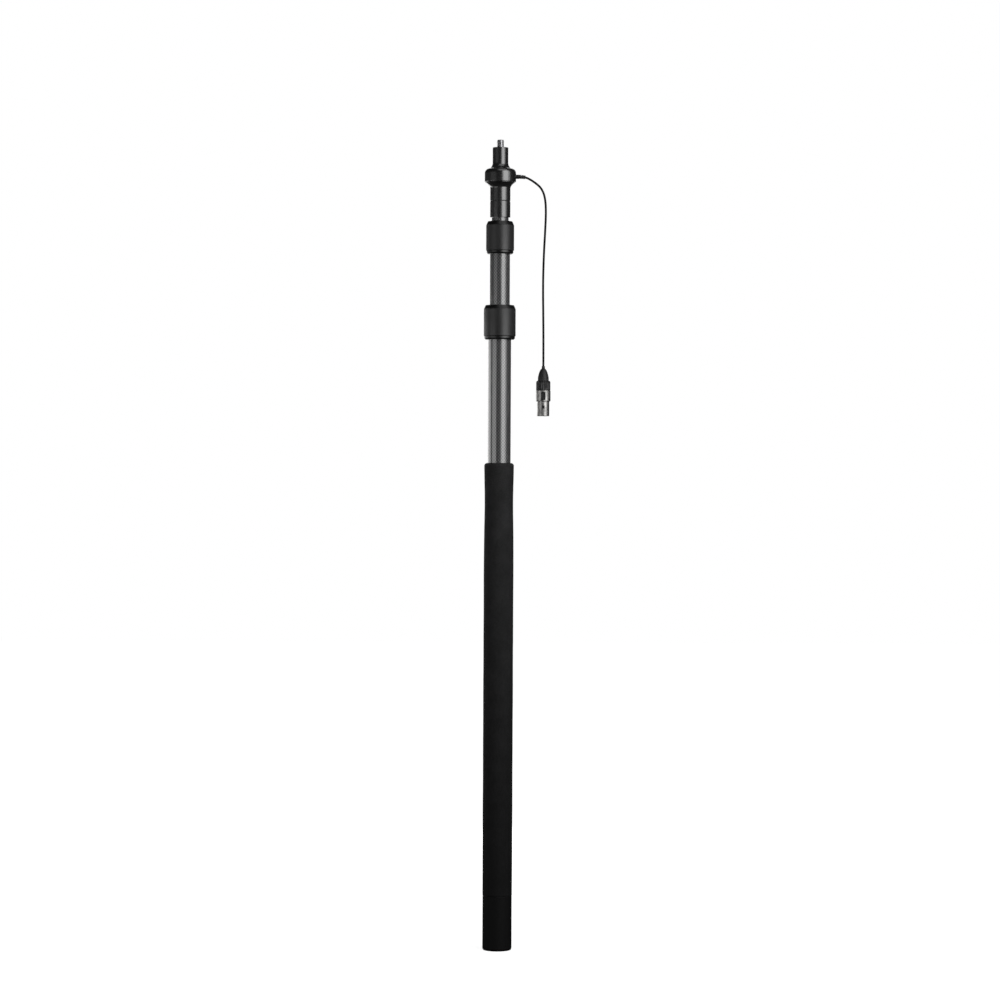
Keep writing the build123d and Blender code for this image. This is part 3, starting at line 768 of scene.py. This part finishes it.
def lock_pieces(name, tube):
    """The visible pieces of one twist lock: the ring fixed on the tube, the nut and its soft sleeve."""
    ferrule, nut, sleeve = (name + part for part in ("_ferrule", "_nut", "_sleeve"))

    low, high, bore, reach = turned_size(ferrule)
    edge = low + RIM_HEIGHT
    neck = reach - RIM_STEP
    groove = edge + RIM_TO_GROOVE
    socket = low + SOCKET_DEPTH
    tube_reach = turned_size(tube)[3]
    outline = [
        (tube_reach, low),
        (reach - RIM_CHAMFER, low),
        (reach, low + RIM_CHAMFER),
        (reach, edge),
        (neck, edge),
        (neck, groove),
        (neck - GROOVE_DEPTH, groove),
        (neck - GROOVE_DEPTH, groove + GROOVE_WIDTH),
        (neck, groove + GROOVE_WIDTH),
        (neck, high),
        (bore, high),
        (bore, socket),
        (tube_reach, socket),
    ]
    turned(ferrule, "black_anodised", outline, FERRULE_ROUNDS)

    low, high, bore, reach = turned_size(nut)
    _, shoulder, under, _ = turned_size(sleeve)
    throat = shoulder - NUT_LIP_DEPTH
    outline = [
        (neck + NUT_CLEARANCE, low),
        (under, low),
        (under, shoulder),
        (reach, shoulder),
        (reach - NUT_CHAMFER, high),
        (bore, high),
        (bore, throat),
        (bore + NUT_LIP_STEP, throat),
        (neck - NUT_CONE_INSET, low + NUT_CONE_HEIGHT),
        (neck - NUT_CONE_INSET, low + NUT_STEP_HEIGHT),
        (neck + NUT_CLEARANCE, low + NUT_STEP_HEIGHT),
    ]
    turned(nut, "black_anodised", outline, NUT_ROUNDS)
    turned_sleeve(sleeve, "soft_touch", *LOCK_SLEEVE_EDGES)


def head_body():
    """The head's barrel on its spigot, which widens in a cove to the exit ring."""
    low, high, bore, wide = turned_size("head_body")
    barrel = turned_size("head_sleeve")[3]
    barrel_bottom = turned_size("head_seal")[1]
    ring_low = turned_size("exit_ring")[0]
    spigot = turned_size("inner_tube")[2]
    cove_low = ring_low - COVE_DEPTH
    cove = []
    for step in range(CURVE_STEPS + 1):
        t = step / CURVE_STEPS
        cove.append((barrel + (wide - barrel) * t**COVE_BEND, cove_low + COVE_HEIGHT * t))
    outline = [
        (bore, low),
        (spigot, low),
        (spigot, barrel_bottom),
        (barrel, barrel_bottom),
        *cove,
        (wide, ring_low),
        (CHAMBER_R, ring_low),
        (CHAMBER_R, high),
        (bore, high),
    ]
    turned("head_body", "black_gloss", outline, BARREL_ROUNDS)


def exit_ring():
    """The widest ring of the head, with a full shoulder up to the neck."""
    ring_low, ring_high, _, ring_reach = turned_size("exit_ring")
    chamber_top = turned_size("head_body")[1]
    foot = turned_size("head_neck")[3]
    side_top = ring_high - SHOULDER_HEIGHT
    shoulder = [(ring_reach, side_top)]
    for step in range(1, CURVE_STEPS):
        angle = math.pi / 2 * step / CURVE_STEPS
        out = (ring_reach - foot) * math.cos(angle) ** (2 / SHOULDER_BEND)
        up = SHOULDER_HEIGHT * math.sin(angle) ** (2 / SHOULDER_BEND)
        shoulder.append((foot + out, side_top + up))
    shoulder.append((foot, ring_high))
    outline = [
        (CHAMBER_R, ring_low),
        (ring_reach, ring_low),
        *shoulder,
        (NECK_SPIGOT_R, ring_high),
        (NECK_SPIGOT_R, side_top + RING_ROOF),
        (RING_BORE_R, side_top + RING_ROOF),
        (RING_BORE_R, chamber_top),
        (CHAMBER_R, chamber_top),
    ]
    turned("exit_ring", "black_gloss", outline, RING_ROUNDS)


def head_neck():
    """The neck, which flares down to the exit ring and holds the stud's shank."""
    low, high, _, foot = turned_size("head_neck")
    ring_high = turned_size("exit_ring")[1]
    seat = turned_size("mic_stud")[0]
    flare = []
    for step in range(CURVE_STEPS):
        t = step / CURVE_STEPS
        flare.append((NECK_R + (foot - NECK_R) * (1 - t) ** FLARE_BEND, ring_high + FLARE_HEIGHT * t))
    flare.append((NECK_R, ring_high + FLARE_HEIGHT))
    outline = [(0, low), (NECK_SPIGOT_R, low), (NECK_SPIGOT_R, ring_high), *flare]
    top_corner = len(outline)
    outline += [(NECK_R, high), (SHANK_R, high), (SHANK_R, seat), (0, seat)]
    turned("head_neck", "black_gloss", outline, {top_corner: NECK_TOP_ROUND})


def stud_piece():
    """The microphone stud with its real thread above the neck, and a shank inside it."""
    low, high, _, reach = turned_size("mic_stud")
    neck_top = turned_size("head_neck")[1]
    vertices = []
    for turn in range(SMALL_SEGMENTS):
        angle = 2 * math.pi * turn / SMALL_SEGMENTS
        vertices.append((SHANK_R * math.cos(angle), SHANK_R * math.sin(angle), low))
    for row in range(STUD_ROWS + 1):
        z = neck_top + (high - neck_top) * row / STUD_ROWS
        limit = reach - max(0.0, z - (high - LEAD_IN_LENGTH)) * LEAD_IN_SLOPE
        for turn in range(SMALL_SEGMENTS):
            angle = 2 * math.pi * turn / SMALL_SEGMENTS
            phase = (z / THREAD_PITCH - turn / SMALL_SEGMENTS) % 1.0
            tooth = min(1.0, max(0.0, TOOTH_TOP - abs(phase - 0.5) * TOOTH_SLOPE))
            radius = min(reach - THREAD_DEPTH * (1 - tooth), limit)
            vertices.append((radius * math.cos(angle), radius * math.sin(angle), z))
    stud = new_piece("mic_stud_fine", vertices, skin(STUD_ROWS + 2, SMALL_SEGMENTS))
    stand_for(stud, "mic_stud", "stud_steel")


def gland_nut():
    """The gland's nut with a groove near its outer end, built along +Z and laid on +X."""
    low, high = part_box("gland_nut")
    along = Matrix.Translation((0, 0, (low.z + high.z) / 2)) @ Matrix.Rotation(math.radians(90), 4, "Y")
    reach = (high.z - low.z) / 2
    shoulder = turned_size("exit_ring")[3] - GLAND_SINK
    groove_start = high.x - GLAND_GROOVE_START
    groove_end = high.x - GLAND_GROOVE_END
    groove_reach = reach * GLAND_GROOVE_SHARE
    outline = [
        (CORD_HOLE_R, low.x),
        (GLAND_SPIGOT_R, low.x),
        (GLAND_SPIGOT_R, shoulder),
        (reach, shoulder),
        (reach, groove_start),
        (groove_reach, groove_start + GLAND_GROOVE_SLOPE),
        (groove_reach, groove_end - GLAND_GROOVE_SLOPE),
        (reach, groove_end),
        (reach, high.x),
        (CORD_HOLE_R, high.x),
    ]
    return turned("gland_nut", "black_metal", outline, GLAND_ROUNDS, place=along, segments=SMALL_SEGMENTS)


def gland_boot():
    """The gland's ringed boot, which points a little down."""
    low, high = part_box("gland_nut")
    tilt = Matrix.Rotation(math.radians(GLAND_TILT), 4, "Y")
    place = Matrix.Translation((high.x, 0, (low.z + high.z) / 2)) @ tilt
    reach = (high.z - low.z) / 2
    outline = [(CORD_HOLE_R, GLAND_BOOT_START), (reach, GLAND_BOOT_START)]
    for ring in range(GLAND_RINGS):
        z = GLAND_BOOT_LENGTH * (ring + GLAND_RING_OFFSET) / (GLAND_RINGS + GLAND_RING_OFFSET)
        slim = reach - GLAND_BOOT_TAPER * (ring + 1) / GLAND_RINGS
        outline.append((slim, z - GLAND_RING_WIDTH))
        outline += [(slim - GLAND_RING_DEPTH, z - below) for below in GLAND_RING_FLOOR]
        outline.append((slim, z))
    outline += [(reach - GLAND_BOOT_TIP_STEP, GLAND_BOOT_LENGTH), (CORD_HOLE_R, GLAND_BOOT_LENGTH)]
    return turned("gland_boot", "boot_rubber", outline, {}, place=place, segments=SMALL_SEGMENTS)


def boot_ripple(angle, radius, height):
    """Shallow rings round the boot."""
    if radius < BOOT_RINGS_OUTSIDE or height < BOOT_RINGS_FROM or height > BOOT_RINGS_TO:
        return 0
    return -BOOT_RING_DEPTH * max(0.0, math.sin(height * BOOT_RING_RATE)) ** 2


def collar_ripple(start, end):
    """Ribs along the collar, fading at both ends."""

    def ripple(angle, radius, height):
        if radius < RIB_OUTSIDE:
            return 0
        near = min(height - start - COLLAR_SIDE_START, end - RIB_END - height)
        fade = min(1.0, max(0.0, near / RIB_FADE))
        return -RIB_DEPTH * fade * (0.5 - 0.5 * math.cos(angle * RIBS)) ** RIB_SHARPNESS

    return ripple


def connector_pieces():
    """The connector's bullet-shaped boot and ribbed collar, built from the boot's tip downward."""
    low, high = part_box("connector_boot")
    tip = Vector(((low.x + high.x) / 2, (low.y + high.y) / 2, high.z))
    down = Matrix.Translation(tip) @ Matrix.Rotation(math.radians(180), 4, "X")
    depth = high.z - low.z
    base = (high.x - low.x) / 2
    outline = [(CORD_HOLE_R, 0), (BOOT_TIP_R, 0), (BOOT_TIP_R, depth * BOOT_TIP_SHARE)]
    for step in range(1, BOOT_STEPS + 1):
        t = step / BOOT_STEPS
        bulge = (1 - (1 - t) ** BOOT_BEND) ** (1 / BOOT_BEND)
        height = depth * (BOOT_TIP_SHARE + BOOT_SWELL_SHARE * t)
        outline.append((BOOT_TIP_R + (base - BOOT_TIP_R) * bulge, height))
    outline += [(base, depth), (CHUCK_HOLE_R, depth)]
    outline += [(CHUCK_HOLE_R, CHUCK_HOLE_START), (CORD_HOLE_R, CHUCK_HOLE_START)]
    details = {"place": down, "segments": BOOT_SEGMENTS, "ripple": boot_ripple}
    boot = turned("connector_boot", "boot_rubber", outline, BOOT_ROUNDS, **details)

    low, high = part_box("connector_collar")
    start, end = tip.z - high.z, tip.z - low.z
    reach = (high.x - low.x) / 2
    side_start = start + COLLAR_SIDE_START
    side_length = end - COLLAR_SIDE_END - side_start
    outline = [
        (CHUCK_HOLE_R, start),
        (reach - COLLAR_FACE_STEP, start),
        (reach - COLLAR_EDGE_STEP, start + COLLAR_EDGE_HEIGHT),
    ]
    outline += [(reach, side_start + side_length * row / COLLAR_ROWS) for row in range(COLLAR_ROWS + 1)]
    outline += [(reach - COLLAR_BACK_STEP, end), (CHUCK_HOLE_R, end)]
    details = {"place": down, "segments": COLLAR_SEGMENTS, "ripple": collar_ripple(start, end)}
    collar = turned("connector_collar", "connector_black", outline, {}, **details)
    return [boot, collar]


def coil_line(bottom, top):
    """A helix that begins and ends on the pole's axis."""
    line = []
    count = COIL_TURNS * COIL_STEPS
    ramp = COIL_RAMP_TURNS / COIL_TURNS
    for step in range(count + 1):
        t = step / count
        radius = COIL_TURN_R * eased(min(1.0, t / ramp, (1 - t) / ramp))
        angle = 2 * math.pi * COIL_TURNS * t
        line.append(Vector((radius * math.cos(angle), radius * math.sin(angle), bottom + (top - bottom) * t)))
    return line


def coil_pieces():
    """The coiled cable in the tubes, in a lower and an upper span, and its tail to the head's lead."""
    bottom = turned_size("base_lead")[1]
    _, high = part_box("coiled_cable")
    middle = (bottom + high.z) / 2
    top = high.z - TAIL_LENGTH
    spans = [
        ("coil_lower", bottom, middle, "grip_section", "middle_bush"),
        ("coil_upper", middle, top, "middle_section", "inner_bush"),
    ]
    for name, start, end, below, above in spans:
        coil = swept(name, coil_line(start, end), COIL_WIRE_R, COIL_SIDES)
        paint(coil, MATERIALS["cord_jacket"])
        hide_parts("coiled_cable")
        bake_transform(coil)
    lead_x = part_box("head_lead")[0].x + TAIL_R
    line = []
    for step in range(TAIL_STEPS + 1):
        t = step / TAIL_STEPS
        line.append(Vector((lead_x * eased(t), 0, top + (high.z - top) * t)))
    stand_for(swept("coil_top", line, TAIL_R, TAIL_SIDES), "coiled_cable", "cord_jacket")


# Stage


def soft_box(name, azimuth, distance, height, size, radiance, tilt):
    """An area light that faces the pole's axis. Azimuth 0 is the camera's side, and 90 is +X."""
    data = bpy.data.lights.new(name, "AREA")
    data.shape = "RECTANGLE"
    data.size, data.size_y = size
    data.energy = radiance * math.pi * size[0] * size[1]
    light = bpy.data.objects.new(name, data)
    turn = math.radians(azimuth)
    light.location = (distance * math.sin(turn), -distance * math.cos(turn), height)
    aim = Vector((-math.sin(turn), math.cos(turn), -math.tan(math.radians(tilt))))
    light.rotation_mode = "QUATERNION"
    light.rotation_quaternion = aim.to_track_quat("-Z", "Y")
    light.visible_camera = False
    bpy.context.scene.collection.objects.link(light)


def floor_material():
    """A pale floor that melts into the white surround away from the pole."""
    s = Shader("floor", (0.8, 0.8, 0.8), 0.9, {"Emission_Color": WHITE})
    distance = s.add("VectorMath", [(0, s.place())], operation="LENGTH").outputs["Value"]
    return s.finish(Emission_Strength=s.span(distance, 0.1, 0.9, 0.75, 1.0))


def make_floor():
    """A square floor, which lights and reflections pass by."""
    mesh = bpy.data.meshes.new("floor")
    corners = [(-1, -1), (1, -1), (1, 1), (-1, 1)]
    mesh.from_pydata([(FLOOR_HALF * x, FLOOR_HALF * y, 0) for x, y in corners], [], [(0, 1, 2, 3)])
    floor = bpy.data.objects.new("floor", mesh)
    bpy.context.scene.collection.objects.link(floor)
    paint(floor, floor_material())
    floor.visible_glossy = False
    floor.visible_diffuse = False


def make_surround():
    """A surround that the camera sees as white, and that lights the pole only faintly."""
    world = bpy.data.worlds.new("surround")
    world.use_nodes = True
    bpy.context.scene.world = world
    tree = world.node_tree
    lit = tree.nodes["Background"]
    lit.inputs["Color"].default_value = SURROUND_LIGHT
    seen = tree.nodes.new("ShaderNodeBackground")
    seen.inputs["Color"].default_value = WHITE
    path = tree.nodes.new("ShaderNodeLightPath")
    choice = tree.nodes.new("ShaderNodeMixShader")
    tree.links.new(path.outputs["Is Camera Ray"], choice.inputs[0])
    tree.links.new(lit.outputs[0], choice.inputs[1])
    tree.links.new(seen.outputs[0], choice.inputs[2])
    tree.links.new(choice.outputs[0], tree.nodes["World Output"].inputs["Surface"])


make_camera()
cord = make_cord()
make_materials()
stand_for(cord, "mic_cord", "cord_jacket")
for node, finish, bevel in KEPT_IN_CONNECTOR + KEPT_IN_POLE:
    keep(node, finish, bevel)
base_cap()
foam_grip()
for node in TUBES:
    turned_sleeve(node, node, TUBE_EDGE, TUBE_EDGE)
lock_pieces("lower_lock", "outer_tube")
lock_pieces("upper_lock", "middle_tube")
turned_sleeve("head_sleeve", "black_gloss", *HEAD_SLEEVE_EDGES)
head_body()
exit_ring()
head_neck()
stud_piece()
on_cord = [gland_nut(), gland_boot(), *connector_pieces()]
coil_pieces()
make_floor()
for light in LIGHTS:
    soft_box(*light)
make_surround()
bpy.context.scene.view_settings.view_transform = "Standard"
